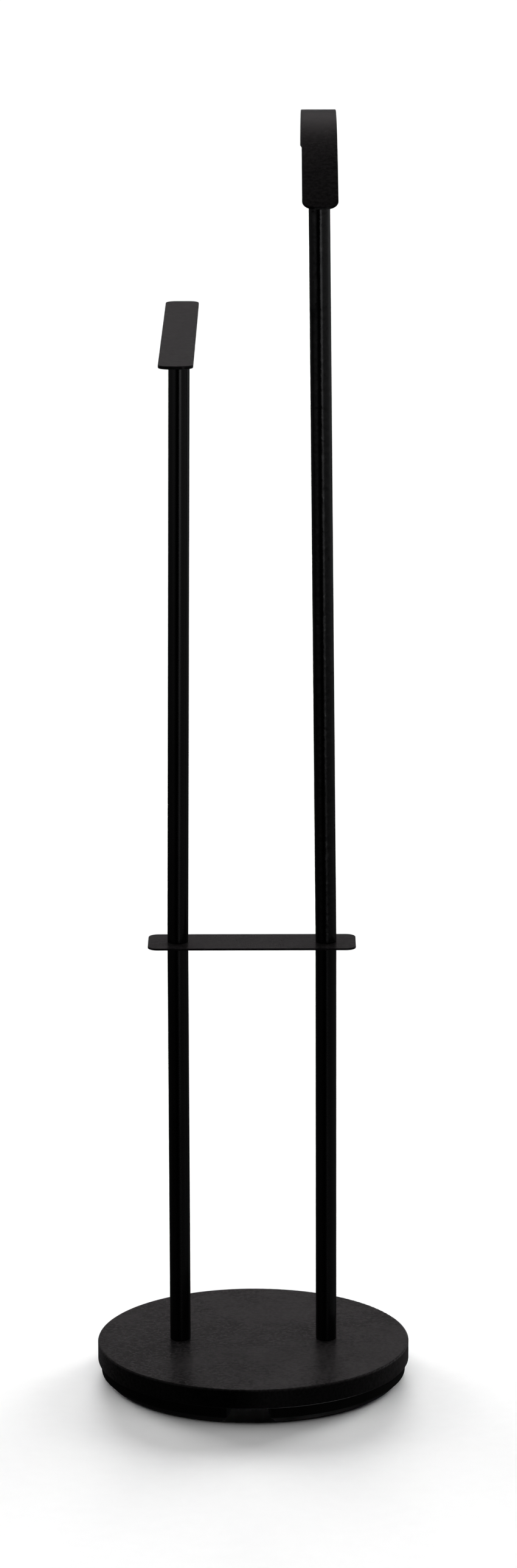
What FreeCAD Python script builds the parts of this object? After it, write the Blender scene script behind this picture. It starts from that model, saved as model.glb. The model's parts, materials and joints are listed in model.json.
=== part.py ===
"""Standing valet: round weighted base, two tube uprights, a shelf, a trouser bar and a
jacket hanger.  Millimetres.  Origin on the floor under the middle of the base, +Z up,
the two uprights stand side by side along X, the bar and the hanger reach along Y."""
import FreeCAD
import Part
import Sketcher
import math
import os

V = FreeCAD.Vector

# ---------------------------------------------------------------- driving sizes
SIZES = [
    # alias, value, meaning
    ("base_dia", 302.0, "outer diameter of the base cover"),
    ("base_top", 35.0, "floor to top face of the base"),
    ("skirt_gap", 16.2, "floor to lower edge of the base cover"),
    ("cover_wall", 1.5, "sheet thickness of the base cover"),
    ("cover_edge_rad", 1.6, "outer rounding of the cover's top edge"),
    ("skirt_edge_rad", 0.8, "rounding of the cover's lower edge"),
    ("plate_inset", 0.8, "lower edge of the cover up to the closing plate"),
    ("plate_wall", 1.5, "thickness of the closing plate"),
    ("plate_play", 0.4, "radial play of plate and ballast in the cover"),
    ("ballast_wall", 6.0, "thickness of the ballast disc"),
    ("spacer_dia", 22.0, "outer diameter of the sleeves that hold the cover off the ballast"),
    ("pad_ring_dia", 295.0, "outer diameter of the ring of foot pads"),
    ("pad_width", 27.0, "radial width of a foot pad"),
    ("pad_gap", 42.0, "gap between neighbouring foot pads"),
    ("pad_turn", -1.5, "turn of the ring of foot pads, degrees"),
    ("pad_bevel", 5.5, "bevel along a foot pad's lower edges"),
    ("screw_dia", 4.0, "pad screw thread diameter"),
    ("screw_len", 12.0, "pad screw length under the head"),
    ("screw_head_dia", 7.0, "pad screw head diameter"),
    ("screw_head_high", 2.6, "pad screw head height"),
    ("screw_grip", 6.0, "rubber left above a pad screw's head"),
    ("screw_angle", 32.0, "pad screws either side of a pad's middle, degrees"),
    ("post_spacing", 141.6, "distance between the two lower tubes"),
    ("lean_in", 0.0083, "inward lean of the upper tubes, per unit of height"),
    ("tube_dia", 20.0, "outer diameter of the upright tubes"),
    ("tube_wall", 1.5, "wall thickness of the upright tubes"),
    ("tube_foot_rad", 0.9, "outer rounding of each tube's lower end"),
    ("lower_post_len", 397.2, "length of both lower tubes"),
    ("short_post_len", 584.0, "length of the upper tube under the trouser bar"),
    ("tall_post_len", 788.4, "length of the upper tube under the jacket hanger"),
    ("plug_len", 20.0, "length of the threaded plugs in the tube ends"),
    ("plug_sink", 2.0, "depth of the topmost plugs below the tube end"),
    ("stud_dia", 8.0, "thread diameter of bolts and studs"),
    ("stud_play", 0.05, "radial play of a thread in its hole"),
    ("hole_play", 0.3, "radial play of a thread in a clearance hole"),
    ("stud_reach", 15.0, "thread engagement in a plug"),
    ("weld_collar_dia", 14.0, "diameter of the welded stud's collar"),
    ("weld_collar_high", 1.6, "height of the welded stud's collar"),
    ("bolt_head_flats", 13.0, "across flats of the post bolt head"),
    ("bolt_head_high", 5.3, "height of the post bolt head"),
    ("washer_dia", 20.0, "outer diameter of the bolt washer"),
    ("washer_wall", 1.6, "thickness of the bolt washer"),
    ("shelf_len", 198.6, "length of the shelf along X"),
    ("shelf_width", 54.0, "width of the shelf along Y"),
    ("shelf_wall", 2.0, "thickness of the shelf"),
    ("shelf_corner_rad", 9.5, "corner radius of the shelf"),
    ("bar_len", 394.0, "length of the trouser bar along Y"),
    ("bar_width", 32.0, "width of the trouser bar along X"),
    ("bar_wall", 3.0, "thickness of the trouser bar"),
    ("bar_corner_rad", 10.0, "corner radius of the trouser bar"),
    ("hanger_span", 436.0, "tip to tip span of the jacket hanger"),
    ("hanger_drop", 58.6, "fall of the hanger's top face from middle to tip"),
    ("hanger_width", 32.5, "width of the jacket hanger along X"),
    ("hanger_wall", 3.0, "thickness of the jacket hanger"),
    ("hanger_corner_rad", 11.0, "corner radius of the jacket hanger"),
    ("flat_edge_rad", 0.7, "rounding along the edges of shelf, bar and hanger"),
]

DERIVED = [
    # alias, formula, meaning
    ("cover_rad", "base_dia / 2", "outer radius of the cover"),
    ("cover_high", "base_top - skirt_gap", "height of the cover"),
    ("cover_bore", "cover_rad - cover_wall", "inner radius of the cover"),
    ("cover_roof", "cover_high - cover_wall", "underside of the cover's top skin"),
    ("plate_low", "skirt_gap + plate_inset", "floor to the closing plate"),
    ("plate_rad", "cover_bore - plate_play", "radius of plate and ballast"),
    ("ballast_low", "plate_low + plate_wall", "floor to the ballast"),
    ("ballast_room", "base_top - cover_wall - ballast_low", "room over the closing plate"),
    ("ballast_high", "min(ballast_wall; ballast_room - 2)", "thickness of the ballast"),
    ("spacer_low", "ballast_low + ballast_high", "floor to the sleeves"),
    ("spacer_high", "base_top - cover_wall - spacer_low", "length of the sleeves"),
    ("spacer_rad", "spacer_dia / 2", "outer radius of the sleeves"),
    ("pad_outer", "min(pad_ring_dia / 2; plate_rad - 1)", "outer radius of the pads"),
    ("pad_inner", "pad_outer - pad_width", "inner radius of the pads"),
    ("pad_half", "60 - asin(pad_gap / 2 / pad_outer) / 1 deg", "half angle of a pad, degrees"),
    ("pad_screw_rad", "pad_outer - pad_width / 2", "pitch radius of the pad screws"),
    ("pad_seat", "plate_low - min(screw_grip; plate_low / 2)", "screw head seat"),
    ("screw_bore", "screw_dia / 2 + stud_play", "radius of a threaded screw hole"),
    ("pad_screw_bore", "screw_dia / 2 + hole_play", "screw hole in the rubber"),
    ("pad_head_bore", "screw_head_dia / 2 + 0.7", "head well in the rubber"),
    ("screw_pocket_rad", "screw_dia / 2 + 1", "pocket in the ballast"),
    ("screw_pocket_deep", "min(pad_seat + screw_len - ballast_low + 2; ballast_high - 1)",
     "depth of that pocket"),
    ("screw_reach", "min(screw_len; ballast_low + screw_pocket_deep - 1 - pad_seat)",
     "screw shank length in use"),
    ("post_x", "post_spacing / 2", "upright axis from the middle"),
    ("tube_rad", "tube_dia / 2", "outer radius of the tubes"),
    ("tube_bore", "tube_rad - tube_wall", "inner radius of the tubes"),
    ("stud_rad", "stud_dia / 2", "radius of bolts and studs"),
    ("thread_bore", "stud_rad + stud_play", "radius of a threaded plug hole"),
    ("clear_bore", "stud_rad + hole_play", "radius of a clearance hole"),
    ("shelf_low", "base_top + lower_post_len", "floor to the shelf's underside"),
    ("shelf_high", "shelf_low + shelf_wall", "floor to the shelf's top face"),
    ("bar_low", "shelf_high + short_post_len", "floor to the bar's underside"),
    ("hanger_low", "shelf_high + tall_post_len", "floor to the hanger's underside"),
    ("hanger_half", "hanger_span / 2", "half span of the hanger"),
    ("bar_x", "post_x - lean_in * short_post_len", "bar's middle from the rack's middle"),
    ("hanger_x", "post_x - lean_in * tall_post_len", "hanger's middle from the rack's middle"),
    ("short_plug_x", "bar_x + plug_shift", "foot of the short tube's top plug"),
    ("tall_plug_x", "hanger_x + plug_shift", "foot of the tall tube's top plug"),
    ("plug_shift", "lean_in * (plug_len + plug_sink)", "sideways run of a top plug"),
    ("hanger_rad", "(hanger_half ^ 2 + hanger_drop ^ 2) / (2 * hanger_drop)",
     "radius of the hanger's top face"),
    ("hanger_under_rad", "hanger_rad - hanger_wall", "radius of its underside"),
    ("hanger_axis", "hanger_low - hanger_under_rad", "floor to the centre of the hanger's arc"),
    ("shelf_half_x", "shelf_len / 2", "half the shelf's length"),
    ("shelf_half_y", "shelf_width / 2", "half the shelf's width"),
    ("bar_half_x", "bar_width / 2", "half the bar's width"),
    ("bar_half_y", "bar_len / 2", "half the bar's length"),
    ("hanger_tip_high", "hanger_rad - hanger_drop", "tip height over the arc's centre"),
    ("hanger_under_half", "hanger_half * hanger_under_rad / hanger_rad",
     "half span of the underside"),
    ("hanger_under_tip", "hanger_tip_high * hanger_under_rad / hanger_rad",
     "underside tip height over the arc's centre"),
    ("bolt_seat", "plate_low - washer_wall", "floor to the bolt head's seat"),
    ("bolt_len", "base_top + stud_reach - bolt_seat", "length under the bolt head"),
    ("washer_rad", "washer_dia / 2", "outer radius of the washer"),
    ("stud_len", "2 * stud_reach + shelf_wall", "length of a joining stud"),
    ("stud_low", "shelf_low - stud_reach", "floor to a joining stud's lower end"),
    ("low_plug_high", "shelf_low - plug_len", "floor to the lower tubes' upper plugs"),
    ("short_plug_high", "bar_low - plug_sink - plug_len", "floor to the short tube's top plug"),
    ("tall_plug_high", "hanger_low - plug_sink - plug_len", "floor to the tall tube's top plug"),
    ("bar_stud_low", "bar_low - plug_sink - stud_reach", "floor to the bar stud's end"),
    ("hanger_stud_low", "hanger_low - plug_sink - stud_reach", "floor to the hanger stud's end"),
    ("weld_stud_len", "plug_sink + stud_reach + 0.5", "length of a welded stud"),
    ("bar_collar_low", "bar_low - weld_collar_high", "floor to the bar stud's collar"),
    ("hanger_collar_low", "hanger_low - weld_collar_high", "floor to the hanger stud's collar"),
    ("weld_collar_rad", "min(weld_collar_dia / 2; tube_bore - 0.5)", "radius of the welded collar"),
    ("collar_blank", "weld_collar_high + 0.5", "collar length before trimming"),
    ("tall_blank", "tall_post_len + 0.5", "tall tube length before trimming"),
]

doc = FreeCAD.newDocument("standing_valet")
dims = doc.addObject("Spreadsheet::Sheet", "dims")
for row, (alias, entry, note) in enumerate(SIZES + DERIVED, start=1):
    dims.set("A%d" % row, note)
    dims.set("B%d" % row, "=" + entry if isinstance(entry, str) else str(entry))
    dims.setAlias("B%d" % row, alias)
doc.recompute()


def num(name):
    """Value of an alias; a leading minus turns its sign."""
    if name == "0":
        return 0.0
    size = float(getattr(dims, name.lstrip("-")))
    return -size if name.startswith("-") else size


def ref(name):
    """The same alias written as an expression."""
    return name.replace("-", "-dims.") if name.startswith("-") else "dims." + name


# ---------------------------------------------------------------- helpers
nodes = []


def place(obj, x="0", z="0", turn=0.0):
    """Put an object at named distances, turned about Z."""
    obj.Placement = FreeCAD.Placement(V(num(x), 0, num(z)), FreeCAD.Rotation(V(0, 0, 1), turn))
    if x != "0":
        obj.setExpression("Placement.Base.x", ref(x))
    if z != "0":
        obj.setExpression("Placement.Base.z", ref(z))


def new_body(name):
    body = doc.addObject("PartDesign::Body", name)
    body.Label = name
    nodes.append(body)
    return body


def sketch_on(body, plane, name):
    sketch = body.newObject("Sketcher::SketchObject", name)
    origin = [f for f in body.Origin.OriginFeatures if f.Role == plane][0]
    sketch.AttachmentSupport = (origin, "")
    sketch.MapMode = "FlatFace"
    return sketch


def pin(sketch, kind, geo, pos, size):
    """Tie one coordinate of a point to a named size, or to zero."""
    if size == "0":
        axis = -2 if kind == "DistanceX" else -1
        sketch.addConstraint(Sketcher.Constraint("PointOnObject", geo, pos, axis))
    else:
        k = sketch.addConstraint(Sketcher.Constraint(kind, -1, 1, geo, pos, num(size)))
        sketch.setExpression("Constraints[%d]" % k, ref(size))


def outline(sketch, points):
    """Closed straight-sided outline through points given by named sizes."""
    n = len(points)
    base = sketch.GeometryCount
    at = [V(num(px), num(py), 0) for px, py in points]
    for i in range(n):
        sketch.addGeometry(Part.LineSegment(at[i], at[(i + 1) % n]), False)
    for i in range(n):
        nxt = base + (i + 1) % n
        sketch.addConstraint(Sketcher.Constraint("Coincident", base + i, 2, nxt, 1))
    for i, (px, py) in enumerate(points):
        pin(sketch, "DistanceX", base + i, 1, px)
        pin(sketch, "DistanceY", base + i, 1, py)


def circle(sketch, radius, x="0", y="0"):
    """Circle with a named radius and a named centre."""
    geo = sketch.addGeometry(Part.Circle(V(num(x), num(y), 0), V(0, 0, 1), num(radius)), False)
    k = sketch.addConstraint(Sketcher.Constraint("Radius", geo, num(radius)))
    sketch.setExpression("Constraints[%d]" % k, ref(radius))
    pin(sketch, "DistanceX", geo, 3, x)
    pin(sketch, "DistanceY", geo, 3, y)


def polar_circle(sketch, radius, pitch, angle):
    """Circle with a named radius on a named pitch radius, at a fixed angle in degrees."""
    a = math.radians(angle)
    at = V(num(pitch) * math.cos(a), num(pitch) * math.sin(a), 0)
    geo = sketch.addGeometry(Part.Circle(at, V(0, 0, 1), num(radius)), False)
    k = sketch.addConstraint(Sketcher.Constraint("Radius", geo, num(radius)))
    sketch.setExpression("Constraints[%d]" % k, ref(radius))
    for kind, share in (("DistanceX", math.cos(a)), ("DistanceY", math.sin(a))):
        k = sketch.addConstraint(Sketcher.Constraint(kind, -1, 1, geo, 3, num(pitch) * share))
        sketch.setExpression("Constraints[%d]" % k, "%.9f * %s" % (share, ref(pitch)))


def pad(body, sketch, length, name, midplane=False, lean=0):
    """Pad; lean is +1 or -1 where it follows the inward lean of an upper tube."""
    feature = body.newObject("PartDesign::Pad", name)
    feature.Profile = sketch
    feature.setExpression("Length", ref(length))
    if midplane:
        feature.SideType = "Symmetric"
    if lean:
        feature.UseCustomVector = True
        feature.AlongSketchNormal = True
        feature.Direction = V(lean * num("lean_in"), 0, 1)
        feature.setExpression("Direction.x", "%d * dims.lean_in" % lean)
    sketch.Visibility = False
    doc.recompute()
    return feature


def pocket(body, sketch, name, depth=None):
    """Cut upwards from the XY plane, right through or to a named depth."""
    before = body.Shape.Volume
    feature = body.newObject("PartDesign::Pocket", name)
    feature.Profile = sketch
    feature.Reversed = True
    if depth is None:
        feature.Type = "ThroughAll"
    else:
        feature.setExpression("Length", ref(depth))
    doc.recompute()
    if body.Shape.Volume > before - 1e-3:
        raise RuntimeError(body.Label + ": " + name + " cut nothing")
    return feature


def round_edges(body, feature, name, radius, wanted):
    """Fillet the edges of a feature that pass the test."""
    picked = ["Edge%d" % (i + 1) for i, e in enumerate(feature.Shape.Edges) if wanted(e)]
    if not picked:
        raise RuntimeError(body.Label + ": no edges for " + name)
    fillet = body.newObject("PartDesign::Fillet", name)
    fillet.Base = (feature, picked)
    fillet.setExpression("Radius", ref(radius))
    doc.recompute()
    return fillet


def bevel_edges(body, feature, name, size, wanted):
    """Chamfer the edges of a feature that pass the test."""
    picked = ["Edge%d" % (i + 1) for i, e in enumerate(feature.Shape.Edges) if wanted(e)]
    if not picked:
        raise RuntimeError(body.Label + ": no edges for " + name)
    chamfer = body.newObject("PartDesign::Chamfer", name)
    chamfer.Base = (feature, picked)
    chamfer.setExpression("Size", ref(size))
    doc.recompute()
    return chamfer


def is_circle(edge, radius, z):
    return (isinstance(edge.Curve, Part.Circle) and abs(edge.Curve.Radius - radius) < 1e-4
            and abs(edge.Curve.Center.z - z) < 1e-4)


def straight_along(edge, axis):
    """True for a straight edge parallel to the axis."""
    if not isinstance(edge.Curve, Part.Line):
        return False
    run = edge.Vertexes[-1].Point - edge.Vertexes[0].Point
    return run.Length > 1e-6 and abs(abs(run.normalize().dot(axis)) - 1) < 1e-6


def rim_at(edge, z):
    """True for any edge lying wholly at height z, holes left out."""
    box = edge.BoundBox
    level = abs(box.ZMin - z) < 1e-4 and abs(box.ZMax - z) < 1e-4
    hole = isinstance(edge.Curve, Part.Circle) and edge.Curve.Radius < num("clear_bore") + 0.1
    return level and not hole


# ---------------------------------------------------------------- base
cover = new_body("base_cover")
shell = sketch_on(cover, "XZ_Plane", "cover_profile")
outline(shell, [("0", "cover_roof"), ("cover_bore", "cover_roof"), ("cover_bore", "0"),
                ("cover_rad", "0"), ("cover_rad", "cover_high"), ("0", "cover_high")])
turned = cover.newObject("PartDesign::Revolution", "cover_turned")
turned.Profile = shell
turned.ReferenceAxis = (shell, ["V_Axis"])
turned.Angle = 360
doc.recompute()
top_edge = round_edges(cover, turned, "cover_top_edge", "cover_edge_rad",
                       lambda e: is_circle(e, num("cover_rad"), num("cover_high")))
low_edge = round_edges(cover, top_edge, "cover_low_edge", "skirt_edge_rad",
                       lambda e: is_circle(e, num("cover_rad"), 0))
bolt_holes = sketch_on(cover, "XY_Plane", "cover_bolt_holes")
for side in ("-post_x", "post_x"):
    circle(bolt_holes, "clear_bore", side)
pocket(cover, bolt_holes, "cover_holes")
place(cover, z="skirt_gap")

PAD_MIDDLES = [("foot_pad_right", -30.0), ("foot_pad_rear", 90.0), ("foot_pad_left", 210.0)]
SCREW_ANGLES = [middle + num("pad_turn") + side * num("screw_angle")
                for _, middle in PAD_MIDDLES for side in (-1, 1)]

weight = new_body("base_weight")
disc = sketch_on(weight, "XY_Plane", "weight_outline")
circle(disc, "plate_rad")
for side in ("-post_x", "post_x"):
    circle(disc, "clear_bore", side)
pad(weight, disc, "ballast_high", "weight_disc")
pockets = sketch_on(weight, "XY_Plane", "weight_screw_pockets")
for angle in SCREW_ANGLES:
    polar_circle(pockets, "screw_pocket_rad", "pad_screw_rad", angle)
pocket(weight, pockets, "weight_pockets", "screw_pocket_deep")
place(weight, z="ballast_low")

closing = new_body("base_underplate")
disc = sketch_on(closing, "XY_Plane", "underplate_outline")
circle(disc, "plate_rad")
for side in ("-post_x", "post_x"):
    circle(disc, "clear_bore", side)
for angle in SCREW_ANGLES:
    polar_circle(disc, "screw_bore", "pad_screw_rad", angle)
pad(closing, disc, "plate_wall", "underplate_disc")
place(closing, z="plate_low")


def foot_pad(name, middle):
    """Rubber arc, bevelled below, with two head wells; drawn about +X, then turned to its place."""
    body = new_body(name)
    sketch = sketch_on(body, "XY_Plane", name + "_outline")
    half = math.radians(num("pad_half"))
    rings = []
    for size in ("pad_outer", "pad_inner"):
        arc = Part.ArcOfCircle(Part.Circle(V(0, 0, 0), V(0, 0, 1), num(size)), -half, half)
        geo = sketch.addGeometry(arc, False)
        rings.append(geo)
        sketch.addConstraint(Sketcher.Constraint("Coincident", geo, 3, -1, 1))
        k = sketch.addConstraint(Sketcher.Constraint("Radius", geo, num(size)))
        sketch.setExpression("Constraints[%d]" % k, ref(size))
    for pos, sign in ((1, -1.0), (2, 1.0)):
        ends = [V(num(size) * math.cos(half), sign * num(size) * math.sin(half), 0)
                for size in ("pad_outer", "pad_inner")]
        line = sketch.addGeometry(Part.LineSegment(ends[0], ends[1]), False)
        sketch.addConstraint(Sketcher.Constraint("Coincident", line, 1, rings[0], pos))
        sketch.addConstraint(Sketcher.Constraint("Coincident", line, 2, rings[1], pos))
        k = sketch.addConstraint(Sketcher.Constraint("DistanceY", -1, 1, line, 1, ends[0].y))
        sketch.setExpression("Constraints[%d]" % k,
                             "%d * dims.pad_outer * sin(dims.pad_half * 1 deg)" % sign)
        k = sketch.addConstraint(Sketcher.Constraint("DistanceY", -1, 1, line, 2, ends[1].y))
        sketch.setExpression("Constraints[%d]" % k,
                             "%d * dims.pad_inner * sin(dims.pad_half * 1 deg)" % sign)
    arc_pad = pad(body, sketch, "plate_low", name + "_arc")
    bevel_edges(body, arc_pad, name + "_lower_edges", "pad_bevel", lambda e: rim_at(e, 0))
    for label, radius, depth in (("shank_holes", "pad_screw_bore", None),
                                 ("head_wells", "pad_head_bore", "pad_seat")):
        holes = sketch_on(body, "XY_Plane", name + "_" + label + "_outline")
        for side in (-1, 1):
            polar_circle(holes, radius, "pad_screw_rad", side * num("screw_angle"))
        pocket(body, holes, name + "_" + label, depth)
    place(body, turn=middle + num("pad_turn"))


for pad_name, pad_middle in PAD_MIDDLES:
    foot_pad(pad_name, pad_middle)


# ---------------------------------------------------------------- fasteners
def part_cylinder(name, radius, height, low, x="0"):
    shape = doc.addObject("Part::Cylinder", name)
    shape.setExpression("Radius", ref(radius))
    shape.setExpression("Height", ref(height))
    place(shape, x, low)
    return shape


def combine(kind, name, first, second):
    result = doc.addObject(kind, name)
    result.Base = first
    result.Tool = second
    return result


def group(name, members):
    """One node made of several separate equal solids."""
    compound = doc.addObject("Part::Compound", name)
    compound.Label = name
    compound.Links = members
    nodes.append(compound)


def pad_screw(number, angle):
    """Pan-head screw pointing up, with a hexagon socket in its head."""
    tag = "pad_screw_%s" % number
    shank = doc.addObject("Part::Cylinder", tag + "_shank")
    shank.Radius.Value = num("screw_dia") / 2
    shank.setExpression("Radius", "dims.screw_dia / 2")
    shank.setExpression("Height", "dims.screw_reach")
    head = doc.addObject("Part::Cylinder", tag + "_head")
    head.setExpression("Radius", "dims.screw_head_dia / 2")
    head.setExpression("Height", "dims.screw_head_high")
    head.setExpression("Placement.Base.z", "-dims.screw_head_high")
    socket = doc.addObject("Part::Prism", tag + "_socket")
    socket.Polygon = 6
    socket.setExpression("Circumradius", "dims.screw_dia * 0.36")
    socket.setExpression("Height", "dims.screw_head_high * 0.6")
    socket.setExpression("Placement.Base.z", "-dims.screw_head_high")
    solid = combine("Part::Cut", tag, combine("Part::Fuse", tag + "_blank", shank, head), socket)
    a = math.radians(angle)
    solid.setExpression("Placement.Base.x", "%.9f * dims.pad_screw_rad" % math.cos(a))
    solid.setExpression("Placement.Base.y", "%.9f * dims.pad_screw_rad" % math.sin(a))
    solid.setExpression("Placement.Base.z", "dims.pad_seat")
    return solid


group("foot_pad_screws", [pad_screw("abcdef"[i], a) for i, a in enumerate(SCREW_ANGLES)])


def post_bolt(side, x):
    """Hexagon bolt pointing up from under the closing plate."""
    shank = part_cylinder("post_bolt_shank_" + side, "stud_rad", "bolt_len", "bolt_seat", x)
    head = doc.addObject("Part::Prism", "post_bolt_head_" + side)
    head.Polygon = 6
    head.setExpression("Circumradius", "dims.bolt_head_flats / sqrt(3)")
    head.setExpression("Height", "dims.bolt_head_high")
    head.setExpression("Placement.Base.x", ref(x))
    head.setExpression("Placement.Base.z", "dims.bolt_seat - dims.bolt_head_high")
    return combine("Part::Fuse", "post_bolt_" + side, shank, head)


def sleeve(name, radius, height, low, x):
    """Ring with a clearance hole around an upright's axis."""
    ring = part_cylinder(name + "_ring", radius, height, low, x)
    hole = part_cylinder(name + "_hole", "clear_bore", height, low, x)
    return combine("Part::Cut", name, ring, hole)


SIDES = (("left", "-post_x"), ("right", "post_x"))
group("post_bolts", [post_bolt(side, x) for side, x in SIDES])
group("post_washers", [sleeve("washer_" + side, "washer_rad", "washer_wall", "bolt_seat", x)
                       for side, x in SIDES])
group("base_spacers", [sleeve("spacer_" + side, "spacer_rad", "spacer_high", "spacer_low", x)
                       for side, x in SIDES])
group("shelf_studs", [part_cylinder("shelf_stud_" + side, "stud_rad", "stud_len", "stud_low", x)
                      for side, x in SIDES])


# ---------------------------------------------------------------- uprights
def tube(name, length, x, low, lean=0):
    """Round tube; its ends stay level where it leans."""
    body = doc.addObject("PartDesign::Body", name)
    body.Label = name
    sketch = sketch_on(body, "XY_Plane", name + "_outline")
    circle(sketch, "tube_rad")
    circle(sketch, "tube_bore")
    wall = pad(body, sketch, length, name + "_wall", lean=lean)
    round_edges(body, wall, name + "_foot_edge", "tube_foot_rad",
                lambda e: is_circle(e, num("tube_rad"), 0))
    place(body, x, low)
    return body


def plug(name, x, low, lean=0, hole_x="0"):
    """Steel bush pressed into a tube end, with an upright threaded hole."""
    body = new_body(name)
    sketch = sketch_on(body, "XY_Plane", name + "_outline")
    circle(sketch, "tube_bore")
    pad(body, sketch, "plug_len", name + "_bush", lean=lean)
    hole = sketch_on(body, "XY_Plane", name + "_thread_outline")
    circle(hole, "thread_bore", hole_x)
    pocket(body, hole, name + "_thread")
    place(body, x, low)


for side, x in SIDES:
    inward = 1 if side == "left" else -1
    nodes.append(tube("lower_post_" + side, "lower_post_len", x, "base_top"))
    plug("lower_plug_foot_" + side, x, "base_top")
    plug("lower_plug_head_" + side, x, "low_plug_high")
    plug("upper_plug_foot_" + side, x, "shelf_high", inward)
plug("upper_plug_head_left", "-short_plug_x", "short_plug_high", 1, "plug_shift")
plug("upper_plug_head_right", "tall_plug_x", "tall_plug_high", -1, "-plug_shift")
nodes.append(tube("upper_post_short", "short_post_len", "-post_x", "shelf_high", 1))


# ---------------------------------------------------------------- flat plates
def rectangle(sketch, half_x, half_y):
    outline(sketch, [("-" + half_x, "-" + half_y), (half_x, "-" + half_y),
                     (half_x, half_y), ("-" + half_x, half_y)])


def flat_plate(name, half_x, half_y, wall, corner, holes=()):
    """Plate with rounded corners and softened edges, lying on the XY plane."""
    body = new_body(name)
    sketch = sketch_on(body, "XY_Plane", name + "_outline")
    rectangle(sketch, half_x, half_y)
    for x in holes:
        circle(sketch, "clear_bore", x)
    flat = pad(body, sketch, wall, name + "_flat")
    corners = round_edges(body, flat, name + "_corners", corner,
                          lambda e: straight_along(e, V(0, 0, 1)))
    round_edges(body, corners, name + "_edges", "flat_edge_rad",
                lambda e: rim_at(e, 0) or rim_at(e, num(wall)))
    return body


shelf = flat_plate("shelf", "shelf_half_x", "shelf_half_y", "shelf_wall", "shelf_corner_rad",
                   holes=("-post_x", "post_x"))
place(shelf, z="shelf_low")

bar = flat_plate("trouser_bar", "bar_half_x", "bar_half_y", "bar_wall", "bar_corner_rad")
place(bar, "-bar_x", "bar_low")

# The hanger is an arc in the YZ plane; its local origin is the arc's centre.
hanger = new_body("jacket_hanger")
arch = sketch_on(hanger, "YZ_Plane", "hanger_arch")
lean = math.asin(num("hanger_half") / num("hanger_rad"))
arcs = []
for size in ("hanger_rad", "hanger_under_rad"):
    ring = Part.Circle(V(0, 0, 0), V(0, 0, 1), num(size))
    geo = arch.addGeometry(Part.ArcOfCircle(ring, math.pi / 2 - lean, math.pi / 2 + lean), False)
    arcs.append(geo)
    arch.addConstraint(Sketcher.Constraint("Coincident", geo, 3, -1, 1))
for pos, sign in ((1, ""), (2, "-")):
    outer = (sign + "hanger_half", "hanger_tip_high")
    inner = (sign + "hanger_under_half", "hanger_under_tip")
    tip = Part.LineSegment(V(num(outer[0]), num(outer[1]), 0), V(num(inner[0]), num(inner[1]), 0))
    line = arch.addGeometry(tip, False)
    arch.addConstraint(Sketcher.Constraint("Coincident", line, 1, arcs[0], pos))
    arch.addConstraint(Sketcher.Constraint("Coincident", line, 2, arcs[1], pos))
    pin(arch, "DistanceX", line, 1, outer[0])
    pin(arch, "DistanceX", line, 2, inner[0])
    if sign == "":
        pin(arch, "DistanceY", line, 1, outer[1])
        pin(arch, "DistanceY", line, 2, inner[1])
band = pad(hanger, arch, "hanger_width", "hanger_band", midplane=True)


def tip_corner(edge):
    """The short edges through the sheet at the four corners of the hanger."""
    return isinstance(edge.Curve, Part.Line) and abs(edge.Length - num("hanger_wall")) < 1e-3


corners = round_edges(hanger, band, "hanger_corners", "hanger_corner_rad", tip_corner)


def sheet_rim(edge):
    """Edges between the broad faces and the narrow ones."""
    return not (isinstance(edge.Curve, Part.Line) and abs(edge.Length - num("hanger_wall")) < 1e-3)


round_edges(hanger, corners, "hanger_edges", "flat_edge_rad", sheet_rim)
place(hanger, "hanger_x", "hanger_axis")


# ---------------------------------------------------------------- welded studs, tall tube
def welded_stud(name, x, low, collar_low):
    """Threaded stud with a collar, a little long before it is trimmed to the sheet."""
    shank = part_cylinder(name + "_shank", "stud_rad", "weld_stud_len", low, x)
    collar = part_cylinder(name + "_collar", "weld_collar_rad", "collar_blank", collar_low, x)
    return combine("Part::Fuse", name + "_blank", shank, collar)


def trimmed(name, blank, sheet):
    """Cut a blank back to the underside of the sheet it meets."""
    cut = combine("Part::Cut", name, blank, sheet)
    cut.Label = name
    nodes.append(cut)


trimmed("bar_stud", welded_stud("bar_stud", "-bar_x", "bar_stud_low", "bar_collar_low"), bar)
trimmed("hanger_stud",
        welded_stud("hanger_stud", "hanger_x", "hanger_stud_low", "hanger_collar_low"), hanger)
trimmed("upper_post_tall", tube("tall_post_blank", "tall_blank", "post_x", "shelf_high", -1), hanger)
doc.recompute()

# ---------------------------------------------------------------- checks and export
for obj in doc.Objects:
    if "Invalid" in obj.State or "Error" in obj.State:
        raise RuntimeError(obj.Name + " did not compute: " + str(obj.State))
for node in nodes:
    if node.Shape.isNull() or not node.Shape.isValid() or not node.Shape.Solids:
        raise RuntimeError(node.Label + " has no valid solid")

os.makedirs("parts", exist_ok=True)
for node in nodes:
    node.Shape.exportStep("parts/" + node.Label + ".step")
    print("%-24s solids %d  volume %.1f mm3" % (node.Label, len(node.Shape.Solids),
                                               node.Shape.Volume))
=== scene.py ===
"""Looks of the standing coat rack: black powder-coated steel on rubber feet, photographed
on a white studio floor.  Everything is in metres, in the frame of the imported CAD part."""

import json
import math

import bpy
from mathutils import Matrix, Vector

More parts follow.
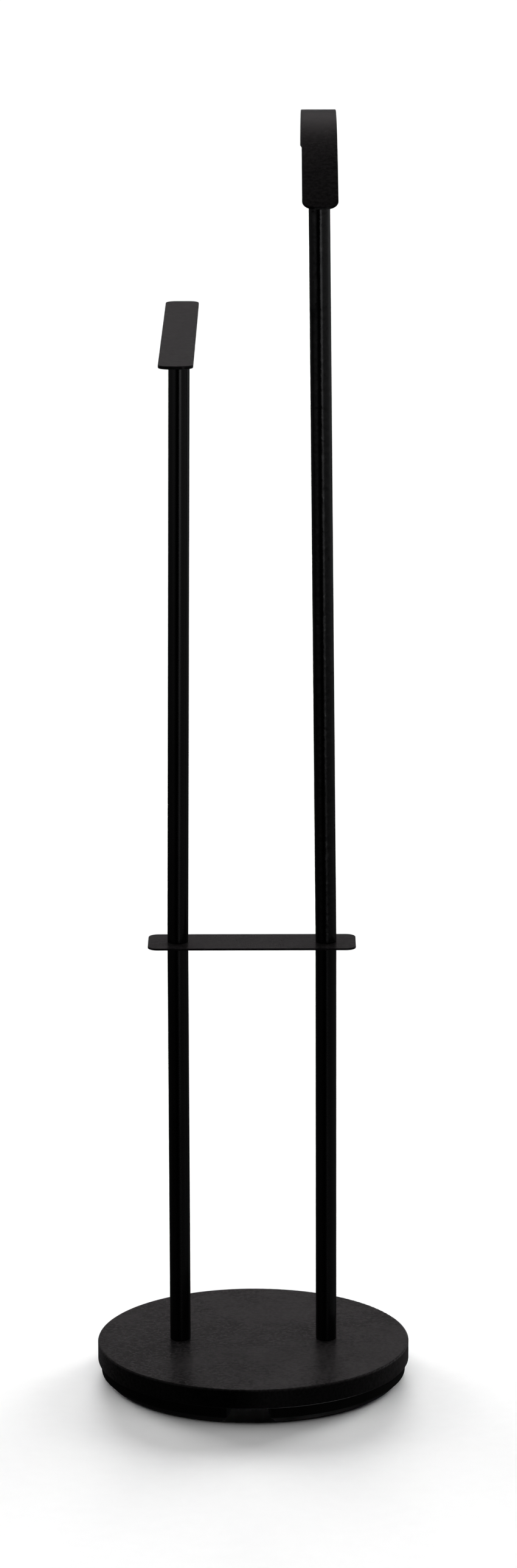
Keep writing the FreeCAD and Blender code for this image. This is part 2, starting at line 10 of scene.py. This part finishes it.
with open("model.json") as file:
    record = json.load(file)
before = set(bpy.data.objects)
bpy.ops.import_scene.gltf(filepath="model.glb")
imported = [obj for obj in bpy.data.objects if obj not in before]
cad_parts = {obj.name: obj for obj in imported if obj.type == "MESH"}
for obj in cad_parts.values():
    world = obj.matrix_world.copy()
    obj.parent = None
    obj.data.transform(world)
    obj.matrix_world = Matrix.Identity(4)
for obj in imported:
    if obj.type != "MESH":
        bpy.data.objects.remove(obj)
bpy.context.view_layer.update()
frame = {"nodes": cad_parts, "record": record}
nodes = frame["nodes"]


# ---------------------------------------------------------------- node helpers
class Graph:
    """A node tree with short calls for the few node types used here."""

    def __init__(self, tree):
        self.tree = tree
        tree.nodes.clear()

    def node(self, kind, **values):
        """New node; each value goes to the input of that name, or else to the setting."""
        made = self.tree.nodes.new(kind)
        for key, value in values.items():
            if key in made.inputs:
                self.feed(value, made.inputs[key])
            else:
                setattr(made, key, value)
        return made

    def feed(self, value, socket):
        """Link an output, or set a plain value."""
        if isinstance(value, bpy.types.NodeSocket):
            self.tree.links.new(value, socket)
        else:
            socket.default_value = value

    def feed_first(self, values, made):
        """Feed a node's first inputs, in their order."""
        for slot, value in enumerate(values):
            self.feed(value, made.inputs[slot])

    def noise(self, vector, scale, detail=2.0, roughness=0.5):
        made = self.node("ShaderNodeTexNoise", Vector=vector, Scale=scale, Detail=detail,
                         Roughness=roughness)
        return made.outputs["Fac"]

    def calc(self, operation, first, second):
        made = self.node("ShaderNodeMath", operation=operation)
        self.feed_first((first, second), made)
        return made.outputs[0]

    def spread(self, value, span, to, kind="LINEAR"):
        """Map a value from one range to another, clamped."""
        made = self.node("ShaderNodeMapRange", interpolation_type=kind)
        self.feed_first((value, *span, *to), made)
        return made.outputs["Result"]

    def mix(self, factor, first, second):
        """Blend two colours."""
        made = self.node("ShaderNodeMix", data_type="RGBA")
        for socket, value in ((made.inputs["Factor"], factor), (made.inputs[6], first),
                              (made.inputs[7], second)):
            self.feed(value, socket)
        return made.outputs[2]

    def bump(self, height, distance, **under):
        """Normal of a surface with that height; under may hold a coarser Normal."""
        return self.node("ShaderNodeBump", Height=height, Distance=distance, **under).outputs[0]


def material(name):
    """New material: itself, its graph, its shader, and the place on the object."""
    made = bpy.data.materials.new(name)
    made.use_nodes = True
    graph = Graph(made.node_tree)
    shader = graph.node("ShaderNodeBsdfPrincipled")
    out = graph.node("ShaderNodeOutputMaterial")
    graph.feed(shader.outputs["BSDF"], out.inputs["Surface"])
    place = graph.node("ShaderNodeTexCoord").outputs["Object"]
    return made, graph, shader, place


def rgb(level, warmth=0.0):
    """Neutral colour; warmth lifts red and lowers blue."""
    return (level * (1 + warmth), level, level * (1 - warmth), 1.0)


# ---------------------------------------------------------------- materials
PEEL = 1 / 0.0011               # orange peel of the powder coat, about a millimetre
GRAIN = 1 / 0.00028             # fine grain of the powder
MOTTLE = 1 / 0.0034             # uneven film, a few millimetres
CLOUD = 11.0                    # faint clouds, about a decimetre
NOISE_SPAN = (0.3, 0.7)         # where most values of a noise lie
MOTTLE_SPAN = (0.38, 0.62)      # narrower, so the mottle shows more contrast
COAT_TINT = (1.06, 0.96, 1.0)   # the black leans slightly to red


def powder_coat(name, gloss, specular, peel_height, dark, light):
    """Satin black powder coat: orange peel, fine grain, faint cloudiness."""
    made, g, shader, place = material(name)
    cloud = g.noise(place, CLOUD, 3.0)
    speck = g.noise(place, GRAIN, 1.0)
    mottle = g.noise(place, MOTTLE, 3.0, 0.6)
    patch = g.calc("ADD", g.spread(cloud, NOISE_SPAN, (0.0, 0.4)),
                   g.spread(mottle, MOTTLE_SPAN, (0.0, 0.6)))
    lightest = tuple(light * part for part in COAT_TINT) + (1.0,)
    g.feed(g.mix(patch, rgb(dark), lightest), shader.inputs["Base Color"])
    rough = g.calc("ADD", g.spread(cloud, NOISE_SPAN, gloss),
                   g.spread(speck, NOISE_SPAN, (-0.03, 0.03)))
    g.feed(rough, shader.inputs["Roughness"])
    shader.inputs["Specular IOR Level"].default_value = specular
    peel = g.bump(g.noise(place, PEEL, 1.5), peel_height)
    g.feed(g.bump(speck, peel_height * 0.12, Normal=peel), shader.inputs["Normal"])
    return made


def rubber(name):
    """Dull black rubber with a fine, even grain."""
    made, g, shader, place = material(name)
    cloud = g.noise(place, 35.0, 3.0)
    g.feed(g.mix(cloud, rgb(0.0010), rgb(0.0024, 0.04)), shader.inputs["Base Color"])
    g.feed(g.spread(cloud, NOISE_SPAN, (0.62, 0.78)), shader.inputs["Roughness"])
    shader.inputs["Specular IOR Level"].default_value = 0.01
    g.feed(g.bump(g.noise(place, 1800.0, 2.0), 0.00008), shader.inputs["Normal"])
    return made


def metal(name, level, rough, scale, tint=0.0):
    """Plated or turned steel with a patchy finish."""
    made, g, shader, place = material(name)
    patch = g.node("ShaderNodeTexVoronoi", Vector=place, Scale=scale)
    grain = g.noise(place, scale * 6, 3.0)
    g.feed(g.mix(patch.outputs["Distance"], rgb(level, tint), rgb(level * 0.72, tint)),
           shader.inputs["Base Color"])
    shader.inputs["Metallic"].default_value = 1.0
    g.feed(g.spread(grain, NOISE_SPAN, (rough * 0.8, rough * 1.25)), shader.inputs["Roughness"])
    g.feed(g.bump(grain, 0.00003), shader.inputs["Normal"])
    return made


def cast(name):
    """Rough cast iron."""
    made, g, shader, place = material(name)
    lumps = g.noise(place, 260.0, 4.0)
    g.feed(g.mix(lumps, rgb(0.06, 0.02), rgb(0.13, 0.04)), shader.inputs["Base Color"])
    shader.inputs["Roughness"].default_value = 0.8
    shader.inputs["Metallic"].default_value = 0.3
    g.feed(g.bump(lumps, 0.0004), shader.inputs["Normal"])
    return made


# powder coats: roughness range, specular level, height of the peel, darkest and lightest level
# metals: colour level, roughness, scale of the patches, warmth
FINISHES = {
    "black_coat": powder_coat("sheet_coat", (0.24, 0.31), 0.018, 0.000030, 0.0020, 0.0145),
    # painted light: a lighter copy of the sheets' black powder coat, lifted so the lit top of the
    # base cover comes out brighter
    "base_coat": powder_coat("base_coat", (0.24, 0.31), 0.018, 0.000030, 0.0050, 0.0205),
    # painted shade: a much darker copy of the same black powder coat, so the shaded sides of the
    # posts come out near black
    "tube_coat": powder_coat("tube_coat", (0.17, 0.21), 0.050, 0.000006, 0.0006, 0.0020),
    "plate_steel": powder_coat("plate_paint", (0.50, 0.60), 0.02, 0.000030, 0.0010, 0.0040),
    "rubber": rubber("foot_rubber"),
    "ballast": cast("ballast_iron"),
    "zinc": metal("zinc_plate", 0.55, 0.32, 420.0, 0.03),
    "raw_steel": metal("turned_steel", 0.42, 0.38, 300.0),
}
slot_of = {part["node"]: part["material_slot"] for part in frame["record"]["subparts"]}
for name, obj in nodes.items():
    if name == "base_cover":
        # the lighter copy of the black coat, with painted light on the base cover
        finish = FINISHES["base_coat"]
    elif "_post_" in name:
        # the darker copy of the black coat, with painted shade on the posts
        finish = FINISHES["tube_coat"]
    else:
        finish = FINISHES[slot_of[name]]
    obj.data.materials.clear()
    obj.data.materials.append(finish)
    for face in obj.data.polygons:
        face.material_index = 0


# ---------------------------------------------------------------- floor and wall
FLOOR_HALF = 40.0               # half the floor's side
FLOOR_SHADES = (0.83, 0.86)
FLOOR_WHITE = 0.85              # the floor's mean shade, for the lights' levels
WALL_RADIUS, WALL_SIDES = 39.0, 72
WALL_ROWS = (-12.0, 0.5, 45.0)  # heights of the wall's rings of points
WALL_SHADES = (0.99, 1.0)


def paper(name, noise_scale, shades, colour):
    """Matt paper without gloss; colour names the socket that takes its fibrous shade."""
    made, g, shader, place = material(name)
    fibre = g.noise(place, noise_scale, 4.0)
    g.feed(g.mix(fibre, rgb(shades[0]), rgb(shades[1])), shader.inputs[colour])
    shader.inputs["Specular IOR Level"].default_value = 0.0
    return made, shader


def backdrop(name, corners, faces, finish):
    """Piece of the studio that is seen directly, but not in the gloss of the object."""
    mesh = bpy.data.meshes.new(name)
    mesh.from_pydata(corners, [], faces)
    mesh.materials.append(finish)
    obj = bpy.data.objects.new(name, mesh)
    bpy.context.collection.objects.link(obj)
    obj.visible_glossy = False
    obj.visible_diffuse = False
    return obj


def studio_floor():
    made, shader = paper("floor_paper", 60.0, FLOOR_SHADES, "Base Color")
    shader.inputs["Roughness"].default_value = 0.9
    s = FLOOR_HALF
    backdrop("studio_floor", [(-s, -s, 0), (s, -s, 0), (s, s, 0), (-s, s, 0)], [(0, 1, 2, 3)],
             made)


def studio_wall():
    """White paper wall far behind the floor on all sides; the lights shine through it."""
    made, shader = paper("wall_paper", 3.0, WALL_SHADES, "Emission Color")
    shader.inputs["Base Color"].default_value = rgb(0.0)
    shader.inputs["Emission Strength"].default_value = 1.0
    n = WALL_SIDES
    angles = [2 * math.pi * i / n for i in range(n)]
    ring = [(WALL_RADIUS * math.cos(angle), WALL_RADIUS * math.sin(angle)) for angle in angles]
    corners = [(x, y, z) for z in WALL_ROWS for x, y in ring]
    faces = [(r * n + i, r * n + (i + 1) % n, (r + 1) * n + (i + 1) % n, (r + 1) * n + i)
             for r in range(len(WALL_ROWS) - 1) for i in range(n)]
    wall = backdrop("studio_wall", corners, faces, made)
    wall.visible_shadow = False
    wall.visible_transmission = False


# ---------------------------------------------------------------- lights
BACK_ELEVATION, BACK_ANGLE = 12.0, 24.0
# name, azimuth counted from +X to +Y, elevation and width in degrees, share of the floor's white
SUNS = [
    ("key_above", 90.0, 75.0, 80.0, 0.40),
    ("back_left", 126.0, BACK_ELEVATION, BACK_ANGLE, 0.16),
    ("back_middle", 90.0, BACK_ELEVATION, BACK_ANGLE, 0.30),
    ("back_right", 54.0, BACK_ELEVATION, BACK_ANGLE, 0.20),
]

# what the gloss sees; the edges are pairs of elevations in degrees that a step fades between
UNDER_EDGE = (-72.0, -52.0)
HORIZON = (-14.0, -6.0)
BAND_TOP = (10.0, 22.0)
SKY_EDGE = (3.0, 12.0)
GLOW_FOOT, GLOW_TOP = (11.0, 17.0), (23.0, 33.0)
UNDER_LEVEL, BAND_LEVEL, SKY_LEVEL, GLOW_LEVEL = 8.0, 13.0, 0.20, 0.25
COOL_WHITE = (0.97, 0.98, 1.0, 1.0)
WARM_WHITE = (1.0, 0.925, 0.94, 1.0)
# levels by azimuth, 0 towards the front and positive to the right: light band at the
# horizon, ground seen at a slant, ground seen from above
BAND = [(-180, 0.007), (-135, 0.014), (-100, 0.04), (-75, 0.11), (-50, 0.20), (-34, 0.08),
        (-26, 0.0), (2, 0.0), (8, 1.0), (18, 1.0), (27, 0.20), (60, 0.18), (115, 0.17),
        (135, 0.03), (180, 0.007)]
GROUND = [(-180, 0.05), (-120, 0.05), (-100, 0.10), (-60, 0.03), (-30, 0.0), (-4, 0.0),
          (14, 0.25), (40, 0.45), (80, 0.55), (110, 0.32), (128, 0.05), (180, 0.03)]
UNDER = [(-180, 0.05), (-60, 0.08), (-10, 0.1), (20, 1.0), (130, 1.0), (180, 0.05)]


def sun(name, azimuth, elevation, angle, share):
    """Soft distant light for the matt surfaces; share is the white floor's brightness from it."""
    data = bpy.data.lights.new(name, "SUN")
    data.angle = math.radians(angle)
    a, e = math.radians(azimuth), math.radians(elevation)
    data.energy = share * math.pi / (FLOOR_WHITE * math.sin(e))
    source = Vector((math.cos(a) * math.cos(e), math.sin(a) * math.cos(e), math.sin(e)))
    obj = bpy.data.objects.new(name, data)
    obj.rotation_mode = "QUATERNION"
    obj.rotation_quaternion = (-source).to_track_quat("-Z", "Y")
    obj.visible_glossy = False
    bpy.context.collection.objects.link(obj)


def studio_surroundings():
    """What the gloss sees: a studio by direction, brighter on the right, one strip in front."""
    world = bpy.data.worlds.new("studio")
    bpy.context.scene.world = world
    world.use_nodes = True
    g = Graph(world.node_tree)
    way = g.node("ShaderNodeSeparateXYZ", Vector=g.node("ShaderNodeTexCoord").outputs["Generated"])
    east, north, rise = way.outputs
    turn = g.calc("ARCTAN2", east, g.calc("MULTIPLY", north, -1.0))
    along = g.spread(turn, (-math.pi, math.pi), (0.0, 1.0))

    def around(stops):
        """Level by azimuth."""
        ramp = g.node("ShaderNodeValToRGB", Fac=along)
        elements = ramp.color_ramp.elements
        while len(elements) > 1:
            elements.remove(elements[-1])
        for i, (angle, level) in enumerate(stops):
            position = angle / 360.0 + 0.5
            spot = elements[0] if i == 0 else elements.new(position)
            spot.position = position
            spot.color = rgb(level)
        return ramp.outputs["Color"]

    def above(edge):
        """0 below the edge, 1 above it."""
        span = [math.sin(math.radians(angle)) for angle in edge]
        return g.spread(rise, span, (0.0, 1.0), "SMOOTHSTEP")

    def below(edge):
        return g.calc("SUBTRACT", 1.0, above(edge))

    def product(first, *others):
        for other in others:
            first = g.calc("MULTIPLY", first, other)
        return first

    def light(colour, *parts):
        """Background of that colour whose strength is the sum of the parts."""
        total = parts[0]
        for part in parts[1:]:
            total = g.calc("ADD", total, part)
        return g.node("ShaderNodeBackground", Color=colour, Strength=total).outputs[0]

    low_part = light(COOL_WHITE,
                     product(below(HORIZON), around(GROUND)),
                     product(below(UNDER_EDGE), around(UNDER), UNDER_LEVEL),
                     product(above(HORIZON), below(BAND_TOP), around(BAND), BAND_LEVEL))
    sky = light(WARM_WHITE,
                product(above(SKY_EDGE), SKY_LEVEL),
                product(above(GLOW_FOOT), below(GLOW_TOP), GLOW_LEVEL))
    both = g.node("ShaderNodeAddShader")
    g.feed_first((low_part, sky), both)
    g.node("ShaderNodeOutputWorld", Surface=both.outputs[0])
    world.cycles_visibility.diffuse = False


# ---------------------------------------------------------------- camera
CAMERA_AT = Vector((0.0275, -5.174, 1.828))
CAMERA_PITCH, CAMERA_YAW, CAMERA_ROLL = 0.2351, 0.0040, -0.0032   # radians
CAMERA_LENS, CAMERA_SENSOR = 128.7, 36.0                          # millimetres


def place_camera():
    """Camera at the photograph's place: looking down by the pitch, nearly along +Y."""
    camera = bpy.data.objects.new("camera", bpy.data.cameras.new("camera"))
    bpy.context.collection.objects.link(camera)
    camera.data.sensor_width = CAMERA_SENSOR
    camera.data.lens = CAMERA_LENS
    camera.data.clip_end = 100.0
    ahead = Vector((-math.sin(CAMERA_YAW) * math.cos(CAMERA_PITCH),
                    math.cos(CAMERA_YAW) * math.cos(CAMERA_PITCH), -math.sin(CAMERA_PITCH)))
    level = Vector((math.cos(CAMERA_YAW), math.sin(CAMERA_YAW), 0.0))
    roll = Matrix.Rotation(-CAMERA_ROLL, 3, ahead)
    axes = Matrix((roll @ level, roll @ level.cross(ahead), -ahead)).transposed()
    camera.matrix_world = Matrix.Translation(CAMERA_AT) @ axes.to_4x4()
    bpy.context.scene.camera = camera


studio_floor()
studio_wall()
studio_surroundings()
for values in SUNS:
    sun(*values)
place_camera()
bpy.context.scene.view_settings.view_transform = "Standard"
